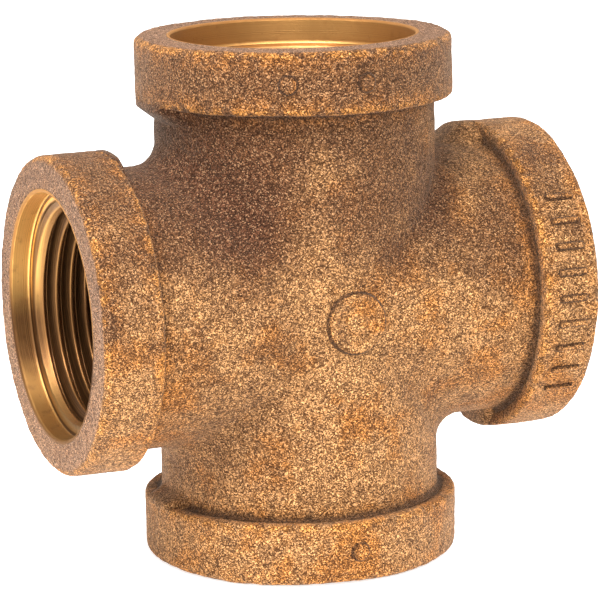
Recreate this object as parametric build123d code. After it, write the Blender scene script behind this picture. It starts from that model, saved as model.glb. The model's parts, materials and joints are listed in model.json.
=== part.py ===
from build123d import *
import os
from math import atan, cos, degrees, pi, radians, sin, tan

# Threaded pipe cross, 1 inch taper pipe thread, one casting. Millimetres.
# The origin is where the port axes cross: +X right port, +Z top port, -Y front.
# The casting is written as named regions that meet face to face.

# ---- casting ----
PORT_REACH = 38.1        # centre to each end face
ARM_RADIUS = 20.36       # outside of the arms
CORE_RADIUS = 17.0       # cored passage behind the threads
BAND_RADIUS = 22.98      # reinforcing band round each mouth
BAND_WIDTH = 8.96
MOUTH_ROUNDING = 1.1     # outer corner of a band at the mouth, as cast
BACK_ROUNDING = 0.7      # and on the side of the arm
SHOULDER_FILLET = 0.8    # where an arm runs up to its band
CROTCH_FILLETS = {       # by quadrant: sign of X, sign of Z
    (-1, 1): 4.0,
    (1, 1): 1.6,
    (1, -1): 4.0,
    (-1, -1): 3.0,
}

# ---- machined ports ----
LINING_RADIUS = 18.2     # outer limit of the machined zone
RING_RADIUS = 17.7       # smooth lead ring at the mouth
RIM_CHAMFER = 0.2        # broken edge of the mouth
RING_DEPTHS = {"left": 2.9, "right": 3.3, "top": 3.8, "bottom": 3.4}
SINK_RADIUS = 16.0       # foot of the steep shoulder behind the lead ring
SINK_STEP = 0.15         # depth of that shoulder
SINK_LENGTH = 2.3        # from the lead ring to where the crests reach full height
THREAD_END = 15.0        # depth where the thread starts to run out
RUNOUT_SLOPE = 0.9       # depth gained per millimetre of radius in the run-out

# ---- taper pipe thread ----
PITCH = 25.4 / 11.5
TAPER = 1 / 32           # loss of radius per millimetre of depth
ROOT_AT_MOUTH = 16.614   # radius of the groove's bottom at the mouth
THREAD_HEIGHT = 1.6      # crests are left blunt, as a drilled and tapped port has them
ROOT_FLAT = 0.09
FLANK = tan(radians(30))
GROOVE_PAST_CREST = 0.12  # the cutter's flanks run on past the crest, then straight
CUTTER_HEIGHT = 2.0
GROOVE_START = 18.86     # the groove runs from here, beyond the run-out,
GROOVE_STOP = 1.0        # to here, in the open mouth
TURN_OVERLAP = 1.002     # each turn of the cutter runs a hair into the next

# ---- raised cast marks ----
MARK_HEIGHT = 0.45
PAD_RADIUS = 4.5         # round pad on the front of the hub
PAD_CENTRE = (0.4, -0.9)  # X, Z
PAD_RING = (1.6, 2.9)    # a shallow ring sunk into the pad
PAD_RING_DEPTH = 0.3
PAD_PROUD = 0.55
BAR_HEIGHT = 0.4         # raised bars round the right band
BAR_COUNT = 9
BAR_SPAN = 76.0          # degrees from the first bar to the last
BAR_LENGTH = 4.6         # along the band's axis
BAR_WIDTH = 1.15
SPOT_RADIUS = 1.4        # raised spots on the top and bottom bands
PEG_LENGTH = 4.0         # each mark is first cut this deep, then trimmed to the surface

PORTS = {
    "left": Rot(0, -90, 0),
    "right": Rot(0, 90, 0),
    "top": Rot(0, 0, 0),
    "bottom": Rot(0, 180, 0),
}
BAND_START = PORT_REACH - BAND_WIDTH


def root_radius(depth):
    """Radius of the thread groove's bottom at a depth from the mouth."""
    return ROOT_AT_MOUTH - depth * TAPER


def crest_radius(depth):
    return root_radius(depth) - THREAD_HEIGHT


LINING_DEPTH = THREAD_END + RUNOUT_SLOPE * (CORE_RADIUS - crest_radius(THREAD_END))


def turned(points):
    """A solid of revolution round Z from a closed outline of (radius, height)."""
    outline = Wire.make_polygon([Vector(r, 0, z) for r, z in points], close=True)
    return Solid.revolve(Face(outline), 360, Axis.Z)


def arms():
    """The outside of the crossing tubes, with a fillet in each crotch."""
    upright = Cylinder(ARM_RADIUS, 2 * BAND_START)
    body = upright + Rot(0, 90, 0) * upright
    for (side, up), fillet_radius in CROTCH_FILLETS.items():
        creases = [
            e
            for e in body.edges().filter_by(GeomType.ELLIPSE)
            if e.center().X * side > 1 and e.center().Z * up > 1
        ]
        body = fillet(creases, fillet_radius)
    return body


def shoulder_ring():
    """The small concave fillet between an arm and its band, along +Z."""
    low = BAND_START - SHOULDER_FILLET
    steps = 6
    arc = [
        (
            ARM_RADIUS + SHOULDER_FILLET * (1 - cos(i / steps * pi / 2)),
            low + SHOULDER_FILLET * sin(i / steps * pi / 2),
        )
        for i in range(steps + 1)
    ]
    return turned([(CORE_RADIUS, low), *arc, (CORE_RADIUS, BAND_START)])


def cast_body():
    """Hub and arms, cored through, with a seat for each port's machined lining."""
    body = arms()
    for turn in PORTS.values():
        body += turn * shoulder_ring()
    passage = Cylinder(CORE_RADIUS, 2 * PORT_REACH)
    body -= passage
    body -= Rot(0, 90, 0) * passage
    seat = Pos(0, 0, PORT_REACH - LINING_DEPTH) * Cylinder(
        LINING_RADIUS, LINING_DEPTH, align=(Align.CENTER, Align.CENTER, Align.MIN)
    )
    for turn in PORTS.values():
        body -= turn * seat
    return body


def band():
    """A reinforcing band with rounded outer corners, along +Z."""
    blank = turned(
        [
            (LINING_RADIUS, BAND_START),
            (BAND_RADIUS, BAND_START),
            (BAND_RADIUS, PORT_REACH),
            (LINING_RADIUS, PORT_REACH),
        ]
    )
    for height, rounding in ((PORT_REACH, MOUTH_ROUNDING), (BAND_START, BACK_ROUNDING)):
        corner = [
            e
            for e in blank.edges().filter_by(GeomType.CIRCLE)
            if e.radius > ARM_RADIUS and abs(e.center().Z - height) < BACK_ROUNDING / 2
        ]
        blank = fillet(corner, rounding)
    return blank


def groove_turn(depth):
    """One turn of the thread cutter, winding from this depth towards the mouth."""
    taper_angle = degrees(atan(TAPER))
    path = Edge.make_helix(
        PITCH / cos(atan(TAPER)),
        PITCH * TURN_OVERLAP,
        root_radius(depth),
        center=(0, 0, PORT_REACH - depth),
        angle=taper_angle,
    )
    root = path @ 0
    half_root = ROOT_FLAT / 2
    past = THREAD_HEIGHT + GROOVE_PAST_CREST
    half_open = half_root + past * FLANK
    outline = [
        (0, -half_root),
        (-past, -half_open),
        (-CUTTER_HEIGHT, -half_open),
        (-CUTTER_HEIGHT, half_open),
        (-past, half_open),
        (0, half_root),
    ]
    corners = [Vector(root.X + r, 0, root.Z + z) for r, z in outline]
    section = Face(Wire.make_polygon(corners, close=True))
    return Solid.sweep(section, path=path, is_frenet=True)


def thread_lining(ring_depth):
    """The machined zone of a port along +Z: broken edge, lead ring and tapered thread."""
    sink_end = ring_depth + SINK_LENGTH
    lining = turned(
        [
            (r, PORT_REACH - depth)
            for r, depth in (
                (LINING_RADIUS, 0),
                (RING_RADIUS + RIM_CHAMFER, 0),
                (RING_RADIUS, RIM_CHAMFER),
                (RING_RADIUS, ring_depth),
                (SINK_RADIUS, ring_depth + SINK_STEP),
                (crest_radius(sink_end), sink_end),
                (crest_radius(THREAD_END), THREAD_END),
                (CORE_RADIUS, LINING_DEPTH),
                (LINING_RADIUS, LINING_DEPTH),
            )
        ]
    )
    depth = GROOVE_START
    while depth - PITCH > GROOVE_STOP:
        lining = lining.cut(groove_turn(depth))
        depth -= PITCH
    return lining


def front_mark():
    """A plain round pad with a sunk ring, standing proud of the front of the hub."""
    across, up = PAD_CENTRE
    face = -ARM_RADIUS - PAD_PROUD
    stand = Pos(across, face, up) * Rot(-90, 0, 0)
    base = (Align.CENTER, Align.CENTER, Align.MIN)
    pad = stand * Cylinder(PAD_RADIUS, PEG_LENGTH, align=base)
    outer, inner = (Cylinder(r, PAD_RING_DEPTH, align=base) for r in reversed(PAD_RING))
    pad -= stand * (outer - inner)
    return pad - arms()


def band_bars():
    """Plain raised bars, evenly spaced round the front of the right band."""
    middle = PORT_REACH - BAND_WIDTH / 2
    shell = turned(
        [
            (BAND_RADIUS, middle - BAR_LENGTH),
            (BAND_RADIUS + BAR_HEIGHT, middle - BAR_LENGTH),
            (BAND_RADIUS + BAR_HEIGHT, middle + BAR_LENGTH),
            (BAND_RADIUS, middle + BAR_LENGTH),
        ]
    )
    shell = PORTS["right"] * shell
    bars = []
    for i in range(BAR_COUNT):
        angle = BAR_SPAN * (i / (BAR_COUNT - 1) - 0.5)
        block = Pos(middle, -BAND_RADIUS, 0) * Box(BAR_LENGTH, PEG_LENGTH, BAR_WIDTH)
        bars += (shell & (Rot(angle, 0, 0) * block)).solids()
    return Compound(children=bars)


def band_spots(turn, places):
    """Raised round spots on a band, at (angle from the front, distance from the mouth)."""
    shell = turned(
        [
            (BAND_RADIUS, BAND_START),
            (BAND_RADIUS + MARK_HEIGHT, BAND_START),
            (BAND_RADIUS + MARK_HEIGHT, PORT_REACH),
            (BAND_RADIUS, PORT_REACH),
        ]
    )
    spots = []
    for angle, depth in places:
        peg = Pos(0, -BAND_RADIUS, PORT_REACH - depth) * Rot(90, 0, 0)
        peg *= Cylinder(SPOT_RADIUS, PEG_LENGTH)
        spots += (shell & (Rot(0, 0, angle) * peg)).solids()
    return turn * Compound(children=spots)


def write(name, shape):
    export_step(shape, f"parts/{name}.step")


os.makedirs("parts", exist_ok=True)
write("cast_body", cast_body())
for port, turn in PORTS.items():
    write(f"{port}_band", turn * band())
    write(f"{port}_thread", turn * thread_lining(RING_DEPTHS[port]))
write("front_mark", front_mark())
write("right_band_bars", band_bars())
write("top_band_spots", band_spots(PORTS["top"], [(-25, 4.5), (3, 4.6)]))
write("bottom_band_spot", band_spots(PORTS["bottom"], [(1.3, 4.6)]))
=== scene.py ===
"""A cast bronze threaded pipe cross. Everything is in metres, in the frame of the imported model.

The casting's skin, bands and raised marks are rebuilt as fine meshes with a sand-cast surface, and
each port's machined lining as a helical thread. They share the centre of the cross as their origin,
so one noise field runs across the seams between the pieces.
"""
import json
import math

import bmesh
import bpy
import numpy as np
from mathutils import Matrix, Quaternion, Vector, noise


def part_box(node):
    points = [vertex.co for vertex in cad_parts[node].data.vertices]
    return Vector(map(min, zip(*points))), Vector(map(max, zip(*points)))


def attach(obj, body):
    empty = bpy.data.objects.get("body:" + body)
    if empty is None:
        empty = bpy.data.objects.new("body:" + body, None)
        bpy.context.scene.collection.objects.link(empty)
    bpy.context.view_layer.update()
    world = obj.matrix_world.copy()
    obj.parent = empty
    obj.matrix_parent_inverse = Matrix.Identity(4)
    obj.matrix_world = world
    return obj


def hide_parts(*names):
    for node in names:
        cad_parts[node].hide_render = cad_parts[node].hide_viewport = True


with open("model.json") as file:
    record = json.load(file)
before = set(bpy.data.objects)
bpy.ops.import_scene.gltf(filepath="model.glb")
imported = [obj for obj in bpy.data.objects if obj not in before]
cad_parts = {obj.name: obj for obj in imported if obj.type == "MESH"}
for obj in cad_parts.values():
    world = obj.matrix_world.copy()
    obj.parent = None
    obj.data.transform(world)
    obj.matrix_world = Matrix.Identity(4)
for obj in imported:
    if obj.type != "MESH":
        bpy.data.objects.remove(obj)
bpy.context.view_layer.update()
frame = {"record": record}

MM = 0.001

# ---- sizes, read from the frame where it has them ----
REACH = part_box("top_band")[1].z                 # centre to each end face
BAND_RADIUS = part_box("top_band")[1].x
BAND_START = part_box("top_band")[0].z
LINING_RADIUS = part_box("top_thread")[1].x
LINING_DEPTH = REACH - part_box("top_thread")[0].z
SHOULDER = 0.8 * MM                             # fillet between an arm and its band
ARM_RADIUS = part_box("cast_body")[1].y - SHOULDER
CORE_RADIUS = 17.0 * MM
MOUTH_ROUNDING = 1.1 * MM                       # outer corner of a band at the mouth
BACK_ROUNDING = 0.7 * MM                        # and on the side of the arm
CROTCH_FILLETS = {                              # by quadrant: sign of X, sign of Z
    (-1, 1): 4.0 * MM,
    (1, 1): 1.6 * MM,
    (1, -1): 4.0 * MM,
    (-1, -1): 3.0 * MM,
}
CROTCH_SHADE_AND_DIRT = {                                 # how dark the painted shade and patina in each crotch are, and how far they reach
    (-1, 1): (1.0, 17 * MM),
    (1, 1): (0.75, 5 * MM),
    (1, -1): (0.3, 5 * MM),
    (-1, -1): (0.4, 12 * MM),
}

MOUNTS = {m["name"]: m for m in frame["record"]["mounts"]}
RING_RADIUS = MOUNTS["top_port"]["dims"]["r_mm"] * MM  # smooth lead ring at the mouth
RIM_CHAMFER = 0.2 * MM
SINK_RADIUS = 16.0 * MM                         # foot of the steep shoulder behind the lead ring
SINK_STEP = 0.15 * MM                           # depth of that shoulder
SINK_LENGTH = 2.3 * MM                          # from the lead ring to crests of full height

PITCH = 25.4 / 11.5 * MM
TAPER = 1 / 32                                  # loss of radius with depth
ROOT_AT_MOUTH = 16.614 * MM
THREAD_HEIGHT = 1.6 * MM
ROOT_FLAT = 0.09 * MM
FLANK = math.tan(math.radians(30))
THREAD_END = 15.0 * MM                          # where the thread starts to run out

PAD_CENTRE = (0.4 * MM, -0.9 * MM)              # X, Z
PAD_RADIUS = 4.5 * MM
PAD_PROUD = 0.55 * MM
PAD_RING = (1.6 * MM, 2.9 * MM)                 # radii of the ring sunk into the pad
PAD_RING_DEPTH = 0.3 * MM
BAR_COUNT, BAR_SPAN = 9, math.radians(76)
BAR_LENGTH, BAR_WIDTH, BAR_HEIGHT = 4.6 * MM, 1.15 * MM, 0.4 * MM
SPOT_RADIUS, SPOT_HEIGHT = 1.4 * MM, 0.45 * MM

PORTS = ("left", "right", "top", "bottom")
UPRIGHT = np.array([0, 0, 1])
FAR = 99.0  # a distance in millimetres that no shading reaches

# ---- how fine the meshes are ----
COLUMNS = 328          # points round an arm
ARM_ROWS, CORE_ROWS, FLARE_ROWS = 56, 14, 4
BAND_COLUMNS = 360
OUTLINE_SPACING = 0.4 * MM
TURN_COLUMNS = 288     # points round a thread
ROWS_PER_PITCH = 20
PATCH_SPACING = 0.16 * MM


def port_matrix(port):
    """Turns +Z onto the port's axis, keeping -Y at the front, as 3 x 3."""
    angle = {"top": 0, "right": 90, "bottom": 180, "left": -90}[port]
    c, s = math.cos(math.radians(angle)), math.sin(math.radians(angle))
    return np.array([[c, 0, s], [0, 1, 0], [-s, 0, c]])


# ---- the sand-cast surface ----
def noise_at(points, feature, octaves=1, shift=0.0):
    """Perlin noise, about -1 to 1, with features of the given size in metres."""
    q = points / feature + shift
    total, weight, norm = np.zeros(len(q)), 1.0, 0.0
    for _ in range(octaves):
        total += weight * np.array([noise.noise(v) for v in q])
        norm += weight
        q, weight = q * 2.03, weight * 0.5
    return total / norm


def cast_skin(points):
    """How far the casting's skin stands off its nominal surface: swells, lumps and grit."""
    swell = noise_at(points, 14 * MM, shift=7.3)
    lumps = noise_at(points, 3.2 * MM, 2, shift=2.1)
    grit = noise_at(points, 0.9 * MM, shift=5.7)
    return (0.16 * swell + 0.10 * lumps + 0.07 * grit - 0.05) * MM


# ---- meshes ----
def build(name, points, faces, layers):
    """A mesh object from points, faces and per-point layers for the materials, with doubles welded.

    Cast pieces have crease and edge (about the millimetres to the nearest inner corner, where shade is
    painted, and outer edge), dirt (0 to 1: how much painted shade and patina lie there) and, on the
    bands, end (1 on the end face). Linings have depth (millimetres from the mouth) and groove (how much
    painted shade it gets, up to 1 in the thread's groove).
    """
    mesh = bpy.data.meshes.new(name)
    mesh.from_pydata(points.tolist(), [], faces.tolist())
    for key, values in layers.items():
        layer = mesh.attributes.new(key, "FLOAT", "POINT")
        layer.data.foreach_set("value", values.astype(np.float32))
    work = bmesh.new()
    work.from_mesh(mesh)
    bmesh.ops.remove_doubles(work, verts=work.verts, dist=1e-7)
    bmesh.ops.dissolve_degenerate(work, dist=1e-8, edges=work.edges)
    bmesh.ops.recalc_face_normals(work, faces=work.faces)
    work.to_mesh(mesh)
    work.free()
    mesh.shade_smooth()
    obj = bpy.data.objects.new(name, mesh)
    bpy.context.collection.objects.link(obj)
    return obj


def pairs(rows, columns):
    """The row and the column number of every place in a grid, row by row."""
    both = np.meshgrid(np.arange(rows), np.arange(columns), indexing="ij")
    return both[0].ravel(), both[1].ravel()


def grid_faces(rows, columns, wrap_rows=False):
    """Quads of a grid whose columns run round an axis and close on themselves."""
    i, j = pairs(rows if wrap_rows else rows - 1, columns)
    here, up, after = i * columns, (i + 1) % rows * columns, (j + 1) % columns
    return np.c_[here + j, here + after, up + after, up + j]


def crossing_gap(points):
    """Signed distance to the crossing arms with their crotch fillets, below zero inside."""
    x, y, z = points.T
    along_x, along_z = np.hypot(y, z), np.hypot(x, y)
    a, b = along_x - ARM_RADIUS, along_z - ARM_RADIUS
    facing = y * y / np.maximum(along_x * along_z, 1e-12)
    fillet = np.zeros(len(x))
    for (side, up), radius in CROTCH_FILLETS.items():
        fillet = np.where((x * side >= 0) & (z * up >= 0), radius, fillet)
    fillet = fillet * (1 - facing)
    near = np.hypot(np.maximum(fillet - a, 0), np.maximum(fillet - b, 0))
    return np.maximum(fillet, np.minimum(a, b)) - near


def slope(points):
    """The outward unit normal of crossing_gap, from its differences over small steps."""
    steps = 0.02 * MM * np.eye(3)
    grad = np.stack([crossing_gap(points + s) - crossing_gap(points - s) for s in steps], axis=1)
    return grad / np.linalg.norm(grad, axis=1, keepdims=True)


def around(columns):
    """Angles round an axis, starting at -Y, with points exactly on the quarter lines."""
    return np.arange(columns) / columns * 2 * math.pi


def arm_points(radius, end, rows):
    """An arm along +X from the crease where it meets its neighbours to a plane at x = end."""
    angle = around(COLUMNS)
    y, z = -radius * np.cos(angle), radius * np.sin(angle)
    t = np.linspace(0, 1, rows)[:, None]  # from the crease to the plane
    x = np.abs(z) + t * (end - np.abs(z))
    return np.stack([x, np.broadcast_to(y, x.shape), np.broadcast_to(z, x.shape)], axis=2)


# metal left in the shoulders at the mould's parting plane: port, degrees from the front, half width
# in degrees, length along the arm, and the degrees over which its sides fade
WEBS = [
    ("right", -101, 15, 6.0 * MM, 14),
    ("top", -92, 19, 2.8 * MM, 16),
    ("left", 88, 14, 2.0 * MM, 12),
    ("bottom", 90, 12, 1.6 * MM, 10),
    ("right", 90, 14, 1.8 * MM, 12),
]
# a web's end runs a hair over the band and into it, so that no gap shows between them
WEB_PROUD, WEB_TUCK = 0.04 * MM, 0.4 * MM


def web_fill(points):
    """How full of metal the shoulders are, from 0 at the arm's surface to 1 at the band's."""
    fill = np.zeros(len(points))
    for port, middle, half_width, length, side in WEBS:
        x, y, z = (points @ port_matrix(port)).T
        off = np.abs((np.degrees(np.arctan2(x, -y)) - middle + 180) % 360 - 180)
        t = np.clip((half_width - off) / side + 0.5, 0, 1)
        climb = np.clip((z - BAND_START + length) / (0.75 * length), 0, 1)
        fill = np.maximum(fill, t * t * (3 - 2 * t) * climb)
    return fill


def hub_points(rows):
    """The rows of one arm turned into all four, as points and quads."""
    points, faces = [], []
    for k, (c, s) in enumerate([(1, 0), (0, 1), (-1, 0), (0, -1)]):
        turn = np.array([[c, 0, -s], [0, 1, 0], [s, 0, c]], float)
        points.append(rows.reshape(-1, 3) @ turn.T)
        faces.append(grid_faces(len(rows), COLUMNS) + len(rows) * COLUMNS * k)
    return np.concatenate(points), np.concatenate(faces)


PROJECTION_PASSES = 8  # steps that bring the arms' points onto the crotch fillets
WEB_CLEAN = 6          # how far a full web seems from the crease, in millimetres


def cast_body():
    """Hub and arms: a skin of four arms welded along their creases, with the cored passage inside."""
    flare_start = BAND_START - SHOULDER
    outer = arm_points(ARM_RADIUS, flare_start, ARM_ROWS)
    angle = around(COLUMNS)

    def ring(radius, x):
        return np.stack([np.full(COLUMNS, x), -radius * np.cos(angle), radius * np.sin(angle)], axis=1)

    flare = [
        ring(ARM_RADIUS + SHOULDER * (1 - math.cos(t)), flare_start + SHOULDER * math.sin(t))
        for t in np.linspace(0, math.pi / 2, FLARE_ROWS + 1)[1:]
    ]
    seat_floor = REACH - LINING_DEPTH
    seat = [
        ring(LINING_RADIUS, BAND_START),
        ring(LINING_RADIUS, seat_floor),
        ring(CORE_RADIUS, seat_floor),
    ]
    core = arm_points(CORE_RADIUS, seat_floor, CORE_ROWS)[::-1][1:]
    rows = np.concatenate([outer, flare, seat, core])
    points, faces = hub_points(rows)
    row_is_skin = np.arange(len(rows)) < len(outer) + len(flare)
    is_skin = np.tile(np.repeat(row_is_skin, COLUMNS), 4)

    reach = np.maximum(np.abs(points[:, 0]), np.abs(points[:, 2]))
    skin = points[is_skin]
    on_arm = reach[is_skin] <= flare_start + 1e-9
    arm = skin[on_arm]
    for _ in range(PROJECTION_PASSES):
        arm = arm - crossing_gap(arm)[:, None] * slope(arm)
    skin[on_arm] = arm
    skin = skin + slope(skin) * cast_skin(skin)[:, None]

    web = web_fill(skin)
    upright = np.abs(skin[:, 2]) > np.abs(skin[:, 0])
    axis = np.where(upright[:, None], [0, 0, 1], [1, 0, 0])
    spoke = skin * (1 - axis)
    across = np.linalg.norm(spoke, axis=1)
    lift = web * np.maximum(BAND_RADIUS + WEB_PROUD - across, 0)
    near_band = (np.abs(skin * axis).sum(axis=1) - BAND_START) / WEB_TUCK + 1
    tuck = WEB_TUCK * web * np.clip(near_band, 0, 1)
    points[is_skin] = skin + spoke * (lift / across)[:, None] + np.sign(skin * axis) * tuck[:, None]

    # a shoulder gets the most painted shade where the arm meets the band, and none where a web fills it
    crease = np.full(len(points), FAR)
    crease[is_skin] = (BAND_START - reach[is_skin]) / MM * 1.3 + WEB_CLEAN * web
    # the crotches' painted shade and patina follow the line where two arms meet, and fade towards the
    # front and back
    x, y, z = points.T
    off_line = np.abs(np.abs(x) - np.abs(z))
    sideways = 1 - y * y / np.maximum(np.hypot(y, z) * np.hypot(x, y), 1e-12)
    fade = np.clip(2.6 * sideways, 0, 1)
    dirt_and_painted_shade = np.zeros(len(points))
    for (side, up), (darkness, width) in CROTCH_SHADE_AND_DIRT.items():
        here = (x * side >= 0) & (z * up >= 0) & is_skin
        dirt_and_painted_shade = np.where(here, darkness * np.exp(-((off_line / width) ** 2)) * fade, dirt_and_painted_shade)
    layers = {"crease": crease, "edge": np.full(len(points), FAR), "dirt_and_painted_shade": dirt_and_painted_shade}
    return build("cast_body", points, faces, layers)


def rounded_outline(corners, spacing):
    """An outline (radius, height) of evenly spaced points, from corners and their roundings."""
    outline = []
    for i, (point, rounding) in enumerate(corners):
        here = np.array(point, float)
        before = np.array(corners[i - 1][0], float) - here
        after = np.array(corners[(i + 1) % len(corners)][0], float) - here
        if rounding <= 0:
            outline.append(here)
            continue
        u, v = before / np.linalg.norm(before), after / np.linalg.norm(after)
        half = math.acos(np.clip(u @ v, -1, 1)) / 2
        start = here + u * rounding / math.tan(half)
        stop = here + v * rounding / math.tan(half)
        centre = here + (u + v) / np.linalg.norm(u + v) * rounding / math.sin(half)
        a0 = math.atan2(*(start - centre)[::-1])
        a1 = math.atan2(*(stop - centre)[::-1])
        sweep = (a1 - a0 + math.pi) % (2 * math.pi) - math.pi
        steps = max(3, int(abs(sweep) * rounding / spacing) + 1)
        for t in np.linspace(0, 1, steps + 1):
            a = a0 + sweep * t
            outline.append(centre + rounding * np.array([math.cos(a), math.sin(a)]))
    filled = []
    for i, here in enumerate(outline):
        there = outline[(i + 1) % len(outline)]
        steps = max(1, int(np.linalg.norm(there - here) / spacing))
        filled += [here + (there - here) * k / steps for k in range(steps)]
    return np.array(filled)


def turned(outline, columns):
    """Points of an outline (radius, height) turned round +Z, row by row, and their normals."""
    angle = around(columns)

    def spun(values):
        r, h = values[:, 0][:, None], values[:, 1][:, None]
        parts = np.broadcast_arrays(r * np.sin(angle), -r * np.cos(angle), h)
        return np.stack(parts, axis=2).reshape(-1, 3)

    along = np.roll(outline, -1, axis=0) - np.roll(outline, 1, axis=0)
    out = np.c_[along[:, 1], -along[:, 0]]
    out /= np.linalg.norm(out, axis=1, keepdims=True)
    return spun(outline), spun(out)


# small dents in the bands' corners: port, degrees from the front, height along the port's axis
DENTS = [("bottom", -36, 29.5 * MM), ("bottom", -29, 29.3 * MM), ("top", 38, 29.4 * MM)]
DENT_RADIUS, DENT_DEPTH = 0.6 * MM, 0.35 * MM


def band(port):
    """The round band at a port's mouth, with rounded outer corners and a rough end face."""
    outline = rounded_outline(
        [
            ((LINING_RADIUS, BAND_START), 0),
            ((BAND_RADIUS, BAND_START), BACK_ROUNDING),
            ((BAND_RADIUS, REACH), MOUTH_ROUNDING),
            ((LINING_RADIUS, REACH), 0),
        ],
        OUTLINE_SPACING,
    )
    points, normals = turned(outline, BAND_COLUMNS)
    r, h = np.hypot(points[:, 0], points[:, 1]), points[:, 2]
    sink = np.zeros(len(points))
    for dented, angle, height in DENTS:
        if dented == port:
            a = math.radians(angle)
            spot = np.array([BAND_RADIUS * math.sin(a), -BAND_RADIUS * math.cos(a), height])
            sink += DENT_DEPTH * np.exp(-((np.linalg.norm(points - spot, axis=1) / DENT_RADIUS) ** 2))
    turn = port_matrix(port)
    points, normals = points @ turn.T, normals @ turn.T

    # where a web meets the band, the band's back corner is full
    back_corner = (h < BAND_START + BACK_ROUNDING) & (r > BAND_RADIUS - BACK_ROUNDING)
    lift = np.where(back_corner, web_fill(points) * (BAND_RADIUS - r), 0)
    spoke = points * (1 - np.abs(turn @ UPRIGHT))
    filled = points + spoke * (lift / r)[:, None]
    moved = filled + normals * (cast_skin(points) - sink)[:, None]
    on_lining = r < LINING_RADIUS + 0.05 * MM
    points = np.where(on_lining[:, None], points, moved)

    inward = r < BAND_RADIUS - 0.1 * MM
    crease = np.where(inward, np.hypot(r - ARM_RADIUS, h - BAND_START) / MM, FAR)
    mouth = np.hypot(r - BAND_RADIUS, h - REACH)
    back = np.hypot(r - BAND_RADIUS, h - BAND_START)
    rim = np.hypot(r - LINING_RADIUS, h - REACH)
    edge = np.minimum(np.minimum(mouth, back), rim) / MM
    end = np.clip((h - REACH) / (0.5 * MM) + 1, 0, 1) * (r < BAND_RADIUS - MOUTH_ROUNDING * 0.7)
    # the dents get painted shade and patina
    dirt_and_painted_shade = np.clip(sink / DENT_DEPTH, 0, 1)
    layers = {"crease": crease, "edge": edge, "dirt_and_painted_shade": dirt_and_painted_shade, "end": end}
    faces = grid_faces(len(outline), BAND_COLUMNS, wrap_rows=True)
    return build(f"{port}_band", points, faces, layers)


# ---- machined ports ----
GROOVE_START = 18.86 * MM  # depth of a groove's bottom where a turn starts
THREAD_HAND = -1           # a right-hand thread nears the mouth as it winds from +X to +Y
CREST_PAINTED_SHADE = 0.15         # how much of the groove's painted shade its crests have


def root_radius(depth):
    """Radius of the thread groove's bottom at a depth from the mouth."""
    return ROOT_AT_MOUTH - depth * TAPER


def crest_radius(depth):
    return root_radius(depth) - THREAD_HEIGHT


def thread_form(phase):
    """How far the thread stands inward of its root at a phase from 0 to 1 along the pitch."""
    from_root = np.abs((phase + 0.5) % 1.0 - 0.5) * PITCH - ROOT_FLAT / 2
    return np.clip(from_root / FLANK, 0, THREAD_HEIGHT)


def open_radius(depth, ring_depth):
    """How far the drilled hole and its run-out keep the thread's crests from the port's axis."""
    full = ring_depth + SINK_LENGTH
    steps = [ring_depth, ring_depth + SINK_STEP, full, THREAD_END, LINING_DEPTH]
    radii = [RING_RADIUS, SINK_RADIUS, crest_radius(full), crest_radius(THREAD_END), CORE_RADIUS]
    return np.maximum(crest_radius(depth), np.interp(depth, steps, radii))


def strips(start, width, i, j):
    """Quads between row i and the next, at column j, of rows of width points that begin at start."""
    here, after = start + i * width, start + (i + 1) * width
    return np.c_[here + j, here + j + 1, after + j + 1, after + j]


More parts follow.
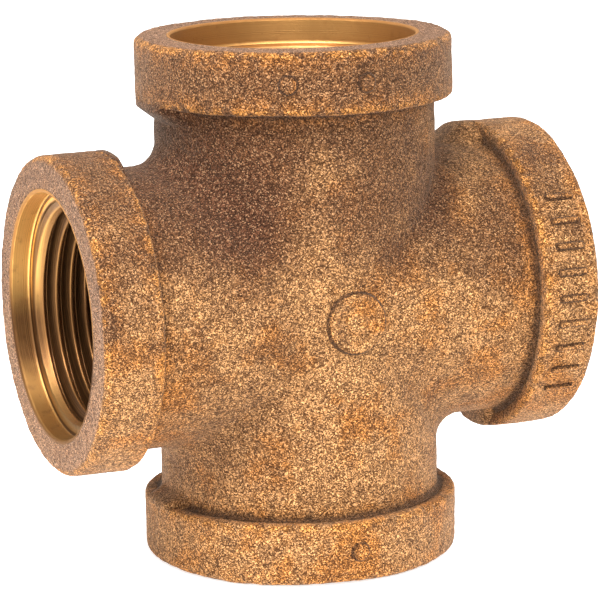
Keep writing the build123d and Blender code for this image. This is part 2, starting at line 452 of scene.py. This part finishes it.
def lining(port):
    """A port's machined zone: broken edge, lead ring, step, helical thread and run-out."""
    turn = port_matrix(port)
    ring_depth = RIM_CHAMFER + MOUNTS[f"{port}_port"]["dims"]["length_mm"] * MM
    foot = ring_depth + SINK_STEP
    width = TURN_COLUMNS + 1  # the last column lies on the first and is welded to it
    column = np.arange(width)
    angle = column / TURN_COLUMNS * 2 * math.pi
    winding = THREAD_HAND * column / TURN_COLUMNS
    first_root = GROOVE_START - math.ceil((GROOVE_START - foot) / PITCH) * PITCH

    def threaded(d):
        form = thread_form((d - first_root) / PITCH - winding)
        return np.maximum(root_radius(d) - form, open_radius(d, ring_depth))

    def place(r, d):
        parts = np.broadcast_arrays(r * np.cos(angle), r * np.sin(angle), REACH - d)
        return np.stack(parts, axis=-1).reshape(-1, 3)

    # the thread's rows follow its helix, squeezed flat at both ends
    rows = int((LINING_DEPTH - ring_depth + 3 * PITCH) / PITCH * ROWS_PER_PITCH)
    turns = np.arange(rows)[:, None] / ROWS_PER_PITCH
    depth = np.clip(first_root + (turns - 0.5 + winding) * PITCH, foot, LINING_DEPTH)
    points = place(threaded(depth), depth)
    faces = strips(0, width, *pairs(rows - 1, TURN_COLUMNS))

    # round the outside of the lining, over the uneven broken edge and along the lead ring
    rim = np.stack([np.cos(angle), np.sin(angle), np.zeros(width)], axis=1) * RING_RADIUS
    chipped = 0.9 * noise_at(rim @ turn.T, 1.1 * MM, 2, shift=4.4)
    profile = [
        (CORE_RADIUS, LINING_DEPTH),
        (LINING_RADIUS, LINING_DEPTH),
        (LINING_RADIUS, 0),
        (RING_RADIUS + RIM_CHAMFER * (1 + chipped), 0),
        (RING_RADIUS, RIM_CHAMFER * (1 + chipped)),
        *[(RING_RADIUS, d) for d in np.linspace(2 * RIM_CHAMFER, ring_depth, 8)],
        (RING_RADIUS - 0.1 * MM, ring_depth + SINK_STEP / 8),
        (RING_RADIUS - 0.6 * MM, ring_depth + SINK_STEP / 3),
        (threaded(foot), foot),
    ]
    start = len(points)
    points = np.concatenate([points, *[place(r, d) for r, d in profile]])
    faces = np.concatenate([faces, strips(start, width, *pairs(len(profile) - 1, TURN_COLUMNS))])

    # the groove gets painted shade, and so does the corner where the lead ring ends
    d = REACH - points[:, 2]
    over = (np.hypot(points[:, 0], points[:, 1]) - open_radius(d, ring_depth)) / THREAD_HEIGHT
    in_corner = np.abs(d - ring_depth - SINK_STEP / 8) < SINK_STEP / 20
    groove = np.where(d > foot - 0.001 * MM, np.clip(over + CREST_PAINTED_SHADE, 0, 1), in_corner)
    layers = {"depth": d / MM, "groove": groove}
    return build(f"{port}_thread", points @ turn.T, faces, layers)


# ---- raised marks ----
PATCH_MARGIN = 0.5 * MM  # how far a mark's mesh runs past its outline
PATCH_FOOT = 0.9 * MM    # depth of a mark's underside below the nominal surface
UNDER = 0.25 * MM        # how far a mark's rim dips below the skin
BAR_ROUNDING = 0.45 * MM
BAR_EDGE = 0.6 * MM      # width of the soft edge of a bar
ROUND_EDGE = 0.7 * MM    # of a spot or the pad
RING_EDGE = 0.5 * MM     # and of the pad's sunk ring
LINE_OFF = 0.1 * MM      # a mark's line of painted shade lies this far outside its outline
LINE_HALF_MM = 0.12      # half the line's width, in millimetres
RING_FAINT = 0.5 * MM    # keeps the lines of the pad's sunk ring fainter than that round the pad


def patch_line(length):
    """Evenly spaced places over a length and its margins."""
    half = length / 2 + PATCH_MARGIN
    return np.linspace(-half, half, int(2 * half / PATCH_SPACING) + 1)


def bump_patch(across, along, shape, place):
    """A closed slab over a rectangle whose top follows shape(u, v) and whose rim dips under the skin.

    shape gives a height and the distance outside the mark's outline. place(u, v, height) gives
    points from flat coordinates and a height above the nominal surface.
    """
    u, v = patch_line(across), patch_line(along)
    n, m = len(u), len(v)
    uu, vv = (grid.ravel() for grid in np.meshgrid(u, v, indexing="ij"))
    height, gap = shape(uu, vv)
    points = np.concatenate([place(uu, vv, height), place(uu, vv, np.full(n * m, -PATCH_FOOT))])
    i, j = pairs(n - 1, m - 1)
    quads = np.c_[i * m + j, (i + 1) * m + j, (i + 1) * m + j + 1, i * m + j + 1]
    index = np.arange(n * m).reshape(n, m)
    rim = np.concatenate([index[0, :-1], index[:-1, -1], index[-1, :0:-1], index[:0:-1, 0]])
    after = np.roll(rim, -1)
    wall = np.c_[rim, after, after + n * m, rim + n * m]
    return points, np.concatenate([quads, quads[:, ::-1] + n * m, wall]), np.concatenate([gap, gap])


def soft_step(distance, width):
    """1 well inside a mark (distance below zero), 0 outside, over the given width."""
    t = np.clip(0.5 - distance / width, 0, 1)
    return t * t * (3 - 2 * t)


def rectangle_gap(u, v, across, along, rounding):
    """Signed distance to a rectangle with rounded corners, below zero inside."""
    du, dv = np.abs(u) - across / 2 + rounding, np.abs(v) - along / 2 + rounding
    outside = np.hypot(np.maximum(du, 0), np.maximum(dv, 0))
    return outside + np.minimum(np.maximum(du, dv), 0) - rounding


def on_band(port, angle, middle):
    """A place function on a band: u along the port's axis from middle, v round it from angle."""
    turn = port_matrix(port)

    def place(u, v, height):
        a = angle + v / BAND_RADIUS
        flat = np.stack([np.sin(a), -np.cos(a), np.zeros(len(a))], axis=1)
        base = flat * BAND_RADIUS
        base[:, 2] = middle + u
        base, out = base @ turn.T, flat @ turn.T
        return base + out * (height + cast_skin(base))[:, None]

    return place


def marks(name, patches):
    """One object from a node's marks, with their outlines in the crease layer, which paints shade along
    them.
    """
    points, faces, crease, start = [], [], [], 0
    for patch_points, patch_faces, gap in patches:
        points.append(patch_points)
        faces.append(patch_faces + start)
        crease.append(np.maximum(np.abs(gap - LINE_OFF) / MM - LINE_HALF_MM, 0) * 4)
        start += len(patch_points)
    points, crease = np.concatenate(points), np.concatenate(crease)
    layers = {"crease": crease, "edge": np.full(start, FAR), "dirt_and_painted_shade": np.zeros(start)}
    return build(name, points, np.concatenate(faces), layers)


def right_band_bars():
    """The row of plain bars round the front of the right band."""
    middle = (BAND_START + REACH) / 2

    def shape(u, v):
        gap = rectangle_gap(u, v, BAR_LENGTH, BAR_WIDTH, BAR_ROUNDING)
        return (BAR_HEIGHT + UNDER) * soft_step(gap, BAR_EDGE) - UNDER, gap

    angles = [BAR_SPAN * (i / (BAR_COUNT - 1) - 0.5) for i in range(BAR_COUNT)]
    places = [on_band("right", angle, middle) for angle in angles]
    return marks("right_band_bars", [bump_patch(BAR_LENGTH, BAR_WIDTH, shape, place) for place in places])


def band_spots(port, spots):
    """Round spots on a band, at (degrees from the front, millimetres from the mouth)."""

    def shape(u, v):
        gap = np.hypot(u, v) - SPOT_RADIUS
        return (SPOT_HEIGHT + UNDER) * soft_step(gap, ROUND_EDGE) - UNDER, gap

    places = [on_band(port, math.radians(angle), REACH - depth * MM) for angle, depth in spots]
    size = 2 * SPOT_RADIUS
    return marks(f"{port}_spots", [bump_patch(size, size, shape, place) for place in places])


def front_mark():
    """The round pad on the hub, flat topped, with a sunk ring."""
    ring_middle, ring_half = sum(PAD_RING) / 2, (PAD_RING[1] - PAD_RING[0]) / 2

    def place(u, v, height):
        # a height of 1 mm stands for the pad's full height, which varies over the round hub
        x, z = u + PAD_CENTRE[0], v + PAD_CENTRE[1]
        hub = np.sqrt(ARM_RADIUS**2 - np.minimum(np.abs(x), np.abs(z)) ** 2)
        ring = soft_step(np.abs(np.hypot(u, v) - ring_middle) - ring_half, RING_EDGE)
        top = ARM_RADIUS + PAD_PROUD - PAD_RING_DEPTH * ring
        skin = cast_skin(np.stack([x, -hub, z], axis=1))
        raised = hub - UNDER + (top - hub + UNDER) * height / MM + skin
        return np.stack([x, -np.where(height >= 0, raised, hub + height), z], axis=1)

    def shape(u, v):
        rho = np.hypot(u, v)
        gap = rho - PAD_RADIUS
        ring_walls = np.abs(np.abs(rho - ring_middle) - ring_half) + RING_FAINT
        nearest = np.where(np.abs(gap) < ring_walls, gap, ring_walls)
        return soft_step(gap, ROUND_EDGE) * MM, nearest

    size = 2 * PAD_RADIUS
    return marks("front_mark", [bump_patch(size, size, shape, place)])


# ---- materials ----
def add(tree, kind, inputs=(), **settings):
    """A shader node with its settings and inputs; an input is a value or another node's output."""
    made = tree.nodes.new(kind)
    for key, value in settings.items():
        setattr(made, key, value)
    for key, value in dict(inputs).items():
        if isinstance(value, bpy.types.NodeSocket):
            tree.links.new(value, made.inputs[key])
        else:
            made.inputs[key].default_value = value
    return made


def millimetres(tree):
    """Where a point lies in the cross's frame, in millimetres."""
    inputs = {0: add(tree, "ShaderNodeTexCoord").outputs["Object"], "Scale": 1 / MM}
    return add(tree, "ShaderNodeVectorMath", inputs, operation="SCALE").outputs[0]


def noise_node(tree, where, scale, detail=2.0, roughness=0.5):
    inputs = {"Vector": where, "Scale": scale, "Detail": detail, "Roughness": roughness}
    return add(tree, "ShaderNodeTexNoise", inputs).outputs["Fac"]


def ramp(tree, value, low, high):
    """Value remapped so that low gives 0 and high gives 1."""
    inputs = {"Value": value, "From Min": low, "From Max": high}
    return add(tree, "ShaderNodeMapRange", inputs, interpolation_type="SMOOTHSTEP").outputs["Result"]


def blend(tree, factor, a, b):
    """Colour a with a share of colour b over it."""
    made = add(tree, "ShaderNodeMix", {"Factor": factor}, data_type="RGBA")
    for index, value in ((6, a), (7, b)):  # the colour sockets share their names with others
        if isinstance(value, bpy.types.NodeSocket):
            tree.links.new(value, made.inputs[index])
        else:
            made.inputs[index].default_value = (*value, 1.0)
    return made.outputs[2]


def tinted(tree, colour, tint):
    """A colour multiplied by another."""
    return add(tree, "ShaderNodeVectorMath", {0: colour, 1: tint}, operation="MULTIPLY").outputs[0]


def maths(tree, operation, a, b):
    return add(tree, "ShaderNodeMath", {0: a, 1: b}, operation=operation).outputs[0]


def times(tree, a, b):
    return maths(tree, "MULTIPLY", a, b)


def between(tree, value, low, high):
    """A value from 0 to 1 as one from low to high."""
    inputs = {"Value": value, "To Min": low, "To Max": high}
    return add(tree, "ShaderNodeMapRange", inputs).outputs["Result"]


def new_material(name):
    material = bpy.data.materials.new(name)
    material.use_nodes = True
    tree = material.node_tree
    return material, tree, tree.nodes["Principled BSDF"]


def attribute(tree, name):
    return add(tree, "ShaderNodeAttribute", attribute_name=name).outputs["Fac"]


def sand(tree, where, scale):
    """A random value from 0 to 1 for each grain of sand that the mould pressed into the metal."""
    inputs = {"Vector": where, "Scale": scale, "Randomness": 1.0}
    cells = add(tree, "ShaderNodeTexVoronoi", inputs)
    return add(tree, "ShaderNodeSeparateColor", {"Color": cells.outputs["Color"]}).outputs[0]


def cast_bronze():
    """As-cast bronze: a crisp sand grain over mottled brown and tan, with painted shade in the corners
    and a few painted glints.
    """
    material, tree, shader = new_material("cast_bronze")
    where = millimetres(tree)
    grain, clump = sand(tree, where, 6.4), sand(tree, where, 3.1)
    relief = noise_node(tree, where, 3.8, 2.0, 0.7)
    mottle = noise_node(tree, where, 0.5, 3.0, 0.6)
    patch = noise_node(tree, where, 0.055, 3.0, 0.6)
    warm = noise_node(tree, where, 0.1, 4.0, 0.65)
    crease, edge, dirt_and_painted_shade, end = (attribute(tree, name) for name in ("crease", "edge", "dirt_and_painted_shade", "end"))

    tan, umber, orange = (0.43, 0.222, 0.086), (0.130, 0.056, 0.023), (0.43, 0.158, 0.024)
    shade_and_soot, rosy, pale = (0.045, 0.019, 0.009), (0.23, 0.120, 0.070), (0.95, 0.64, 0.34)
    shade_and_grime, worn = (0.082, 0.031, 0.015), (0.56, 0.25, 0.055)
    # patchy patina, and browner towards the top and the left as painted shade for light that falls from
    # the lower right
    towards = {0: where, 1: (-0.0025, 0.0, 0.008)}
    painted_shade_lean = add(tree, "ShaderNodeVectorMath", towards, operation="DOT_PRODUCT").outputs["Value"]
    patina_and_painted_shade = maths(tree, "ADD", patch, painted_shade_lean)
    colour = blend(tree, times(tree, ramp(tree, warm, 0.47, 0.62), 0.7), tan, orange)
    colour = blend(tree, times(tree, ramp(tree, patina_and_painted_shade, 0.47, 0.70), 0.9), colour, umber)
    near_corner = maths(tree, "MINIMUM", crease, edge)
    halo = times(tree, ramp(tree, near_corner, 3.8, 0.8), ramp(tree, mottle, 0.35, 0.6))
    colour = blend(tree, times(tree, halo, 0.35), colour, orange)
    rubbed = times(tree, ramp(tree, edge, 1.2, 0.55), ramp(tree, mottle, 0.4, 0.56))
    colour = blend(tree, times(tree, rubbed, 0.42), colour, worn)
    colour = blend(tree, times(tree, ramp(tree, mottle, 0.58, 0.34), 0.45), colour, umber)
    colour = blend(tree, times(tree, end, 0.8), colour, rosy)
    # painted shade and patina along the crotches and in the dents
    colour = blend(tree, times(tree, dirt_and_painted_shade, 0.95), colour, shade_and_grime)
    # painted shade and patina in the inner corners and round the marks
    colour = blend(tree, times(tree, ramp(tree, crease, 1.7, 0.3), 0.85), colour, shade_and_soot)
    # each grain is lighter or darker than its neighbours, and a few get a painted glint
    deep = tinted(tree, colour, (0.16, 0.118, 0.088))
    high = tinted(tree, colour, (1.86, 1.86, 1.86))
    bright = times(tree, times(tree, grain, grain), between(tree, clump, 0.6, 1.0))
    grained = blend(tree, bright, deep, high)
    glint = times(tree, ramp(tree, grain, 0.84, 0.97), ramp(tree, crease, 0.5, 2.5))
    grained = blend(tree, times(tree, glint, 0.12), grained, pale)
    tree.links.new(grained, shader.inputs["Base Color"])

    shader.inputs["Metallic"].default_value = 0.4
    shader.inputs["Specular IOR Level"].default_value = 0.3
    shader.inputs["Specular Tint"].default_value = (1.0, 0.72, 0.5, 1.0)
    shader.inputs["Sheen Weight"].default_value = 0.12
    shader.inputs["Sheen Roughness"].default_value = 0.3
    shader.inputs["Sheen Tint"].default_value = (1.0, 0.80, 0.64, 1.0)
    tree.links.new(between(tree, grain, 0.8, 0.5), shader.inputs["Roughness"])
    height = maths(tree, "ADD", times(tree, grain, 0.3), relief)
    bump = add(tree, "ShaderNodeBump", {"Height": height, "Strength": 1.0, "Distance": 0.28 * MM})
    tree.links.new(bump.outputs["Normal"], shader.inputs["Normal"])
    return material


def machined_bronze():
    """Bright turned bronze: rings of tool marks round the port's axis, brown stains, painted shade in the
    grooves and deep in, and a painted dark reflection low in the level bores.
    """
    material, tree, shader = new_material("machined_bronze")
    where = millimetres(tree)
    depth, groove = attribute(tree, "depth"), attribute(tree, "groove")
    rings_in = {"W": depth, "Scale": 7.0, "Detail": 4.0, "Roughness": 0.7}
    rings = add(tree, "ShaderNodeTexNoise", rings_in, noise_dimensions="1D").outputs["Fac"]
    stain = noise_node(tree, where, 0.3, 4.0, 0.65)
    blot = noise_node(tree, where, 1.3, 3.0, 0.6)
    gold, brown, shade_and_soot = (0.80, 0.45, 0.13), (0.30, 0.14, 0.045), (0.07, 0.029, 0.010)
    colour = blend(tree, times(tree, ramp(tree, stain, 0.55, 0.75), 0.7), gold, brown)
    colour = blend(tree, times(tree, ramp(tree, blot, 0.62, 0.72), 0.5), colour, brown)
    colour = blend(tree, times(tree, ramp(tree, depth, 0.35, 0.1), 0.85), colour, brown)
    # painted dark reflection over the lower half of the level bores, a little less at their lowest part
    level = add(tree, "ShaderNodeSeparateXYZ", {0: where}).outputs["Z"]
    lowest = {"Value": level, "From Min": -13.0, "From Max": -9.0, "To Min": 0.75}
    share = add(tree, "ShaderNodeMapRange", lowest).outputs["Result"]
    painted_dark_reflection = times(tree, ramp(tree, level, 5.0, -4.0), share)
    colour = blend(tree, times(tree, painted_dark_reflection, 0.97), colour, shade_and_soot)
    # the top port is browner than the rest, and each port has painted shade behind its lead ring
    colour = blend(tree, times(tree, ramp(tree, level, 20.0, 30.0), 0.75), colour, brown)
    colour = blend(tree, times(tree, ramp(tree, depth, 3.6, 4.1), 0.8), colour, brown)
    # painted shade deep in the bore, and in the thread's groove
    colour = blend(tree, times(tree, ramp(tree, depth, 7.0, 12.0), 0.7), colour, shade_and_soot)
    colour = blend(tree, times(tree, ramp(tree, groove, 0.02, 0.3), 0.92), colour, shade_and_soot)
    colour = blend(tree, times(tree, ramp(tree, rings, 0.55, 0.35), 0.4), colour, brown)
    tree.links.new(colour, shader.inputs["Base Color"])
    shader.inputs["Metallic"].default_value = 0.9
    at_rim = ramp(tree, depth, 0.35, 0.2)
    rough = maths(tree, "ADD", between(tree, blot, 0.28, 0.52), times(tree, at_rim, 0.4))
    tree.links.new(rough, shader.inputs["Roughness"])
    bump = add(tree, "ShaderNodeBump", {"Height": rings, "Strength": 0.6, "Distance": 0.04 * MM})
    tree.links.new(bump.outputs["Normal"], shader.inputs["Normal"])
    return material


# ---- the pieces ----
CAST = (cast_bronze(), "cast_bronze")
MACHINED = (machined_bronze(), "machined_bronze")


def put(piece, node, finish=CAST):
    """Stands a piece in for its CAD node."""
    material, slot = finish
    piece.name = f"{node}_piece"
    piece.data.materials.append(material)
    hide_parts(node)
    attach(piece, "root")


put(cast_body(), "cast_body")
for port in PORTS:
    put(band(port), f"{port}_band")
    put(lining(port), f"{port}_thread", MACHINED)
put(front_mark(), "front_mark")
put(right_band_bars(), "right_band_bars")
put(band_spots("top", [(-25, 4.5), (3, 4.6)]), "top_band_spots")
put(band_spots("bottom", [(1.3, 4.6)]), "bottom_band_spot")


# ---- floor, light and camera ----
def floor():
    """A pale light table."""
    material, tree, shader = new_material("floor")
    shader.inputs["Base Color"].default_value = (0.85, 0.85, 0.85, 1)
    shader.inputs["Roughness"].default_value = 0.9
    shader.inputs["Emission Color"].default_value = (1, 1, 1, 1)
    shader.inputs["Emission Strength"].default_value = 0.7
    bpy.ops.mesh.primitive_plane_add(size=6, location=(0, 0, -REACH - 0.2 * MM))
    plane = bpy.context.object
    plane.name = "floor"
    plane.data.materials.append(material)


def softbox(name, place, size, power, aim=(0, 0, 0)):
    """A square area light, aimed at the centre of the cross unless told otherwise."""
    lamp = bpy.data.lights.new(name, "AREA")
    lamp.shape, lamp.size, lamp.energy = "SQUARE", size, power
    obj = bpy.data.objects.new(name, lamp)
    obj.location = place
    obj.rotation_mode = "QUATERNION"
    obj.rotation_quaternion = (Vector(place) - Vector(aim)).to_track_quat("Z", "Y")
    bpy.context.collection.objects.link(obj)


def around_centre(azimuth, elevation, distance):
    """A place seen from the centre. Azimuth turns from the front to the right, in degrees."""
    a, e = math.radians(azimuth), math.radians(elevation)
    return Vector((math.sin(a) * math.cos(e), -math.cos(a) * math.cos(e), math.sin(e))) * distance


def light():
    """A white backdrop, and soft lamps from the front, the left and above."""
    world = bpy.data.worlds.new("studio")
    bpy.context.scene.world = world
    world.use_nodes = True
    world.node_tree.nodes["Background"].inputs["Color"].default_value = (1, 1, 1, 1)
    softbox("key", around_centre(-14, 14, 0.9), 0.45, 2.4)
    softbox("left", around_centre(-72, 6, 0.9), 0.45, 1.2)
    softbox("top", around_centre(4, 55, 0.9), 0.6, 6.6)
    # brightens the table in front of the left port, which lights that port from below
    softbox("table", (-0.17, -0.13, 0.32), 0.2, 3.4, aim=(-0.17, -0.131, 0))


def camera():
    """The photo's view: to the left of the front, a little above and from close by."""
    data = bpy.data.cameras.new("camera")
    data.lens, data.sensor_width = 189.7, 36
    obj = bpy.data.objects.new("camera", data)
    bpy.context.collection.objects.link(obj)
    aim = Vector((0.00033, -0.00042, -0.00123))
    away = around_centre(-23.253, 11.829, 0.463)
    obj.location = aim + away
    obj.rotation_mode = "QUATERNION"
    roll = Quaternion((0, 0, 1), math.radians(-0.88))
    obj.rotation_quaternion = (-away).to_track_quat("-Z", "Y") @ roll
    bpy.context.scene.camera = obj


floor()
light()
camera()
bpy.context.scene.view_settings.view_transform = "Standard"
